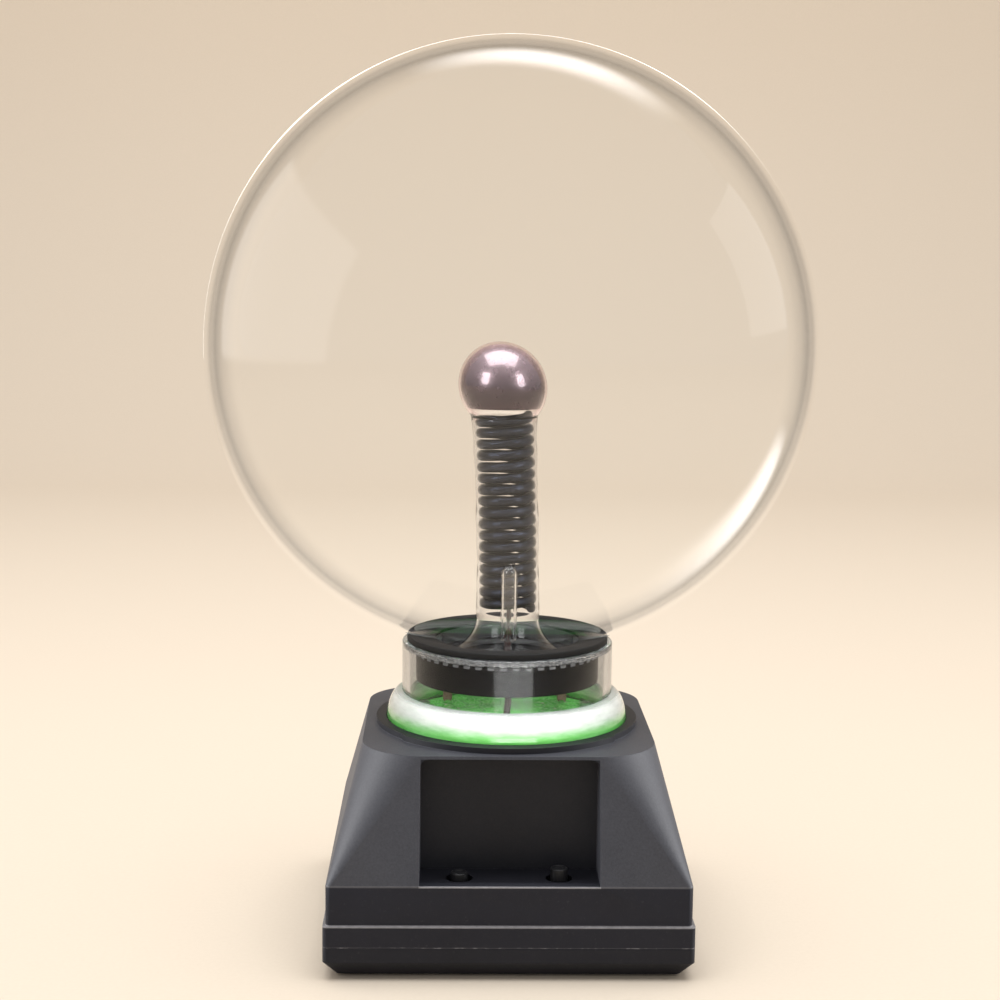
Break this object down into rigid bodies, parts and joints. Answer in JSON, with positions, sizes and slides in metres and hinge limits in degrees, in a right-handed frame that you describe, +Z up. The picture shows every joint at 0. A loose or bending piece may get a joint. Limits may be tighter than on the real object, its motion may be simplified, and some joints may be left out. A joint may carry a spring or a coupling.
{
  "type": "plasma ball",
  "caption": "Clear glass plasma globe with a ball electrode on a glass stem, on a square black base with a clear collar and push buttons in a front pocket.",
  "frame": {"origin": "under the centre of the base, on the surface that the rubber feet stand on", "axes": "+Z up through the globe, -Y towards the front with the button pocket, +X to the right as seen from the front"},
  "size_m": [0.2, 0.2, 0.2947],
  "materials": {
    "globe_glass": "polished clear glass",
    "stem_glass": "polished clear glass",
    "lining": "dark grey conductive coat with a pink edge",
    "coil_steel": "dark drawn wire",
    "clear_sleeve": "clear sleeving",
    "hv_insulation": "silicone insulation",
    "gasket_rubber": "matt rubber",
    "socket_black": "moulded, satin",
    "collar_clear": "clear moulded acrylic",
    "casing_black": "fine moulded grain",
    "cover_black": "fine moulded grain",
    "foot_rubber": "matt rubber",
    "screw_steel": "zinc plated",
    "board_green": "bright green solder mask",
    "ferrite": "dull ferrite",
    "bobbin_black": "moulded",
    "winding_tape": "wrapped insulating tape",
    "device_black": "moulded epoxy",
    "heat_sink_alloy": "mill finish",
    "can_sleeve": "shrink sleeve",
    "film_red": "dipped epoxy",
    "resistor_body": "lacquered",
    "ceramic_brown": "matt",
    "capsule_metal": "satin can",
    "switch_body": "moulded",
    "plunger_white": "moulded",
    "button_black": "moulded, satin",
    "spring_wire": "bright wire",
    "inlet_black": "moulded",
    "contact_plated": "nickel plated",
    "nut_plated": "nickel plated",
    "lead_black": "vinyl insulation",
    "lead_red": "vinyl insulation"
  },
  "bodies": {
    "base": {"globe": "globe_glass", "electrode_stem": "stem_glass", "exhaust_nib": "stem_glass", "ball_lining": "lining", "contact_coil": "coil_steel", "lead_sleeve": "clear_sleeve", "high_voltage_lead": "hv_insulation", "globe_gasket": "gasket_rubber", "neck_socket": "socket_black", "clear_collar": "collar_clear", "upper_casing": "casing_black", "bottom_cover": "cover_black", "rubber_feet": "foot_rubber", "cover_screws": "screw_steel", "circuit_board": "board_green", "board_screws": "screw_steel", "flyback_core": "ferrite", "flyback_bobbin": "bobbin_black", "flyback_winding": "winding_tape", "power_transistor": "device_black", "heat_sink": "heat_sink_alloy", "transistor_screw": "screw_steel", "smoothing_capacitors": "can_sleeve", "film_capacitor": "film_red", "resistors": "resistor_body", "ceramic_capacitors": "ceramic_brown", "microphone": "capsule_metal", "switch_board": "board_green", "switch_board_screws": "screw_steel", "left_switch": "switch_body", "right_switch": "switch_body", "left_spring": "spring_wire", "right_spring": "spring_wire", "power_socket": "inlet_black", "socket_pin": "contact_plated", "socket_nut": "nut_plated", "socket_leads": "lead_black", "switch_leads": "lead_red"},
    "left_push_button": {"left_plunger": "plunger_white", "left_button": "button_black"},
    "right_push_button": {"right_plunger": "plunger_white", "right_button": "button_black"}
  },
  "joints": [
    {"name": "left_button_travel", "type": "slide", "parent": "base", "child": "left_push_button", "axis": [0, 0, -1], "range_m": [-0.0015, 0.001], "stiffness_N_per_m": 300, "deforming": ["left_spring"]},
    {"name": "right_button_travel", "type": "slide", "parent": "base", "child": "right_push_button", "axis": [0, 0, -1], "range_m": [0, 0.0025], "stiffness_N_per_m": 300, "deforming": ["right_spring"]}
  ]
}
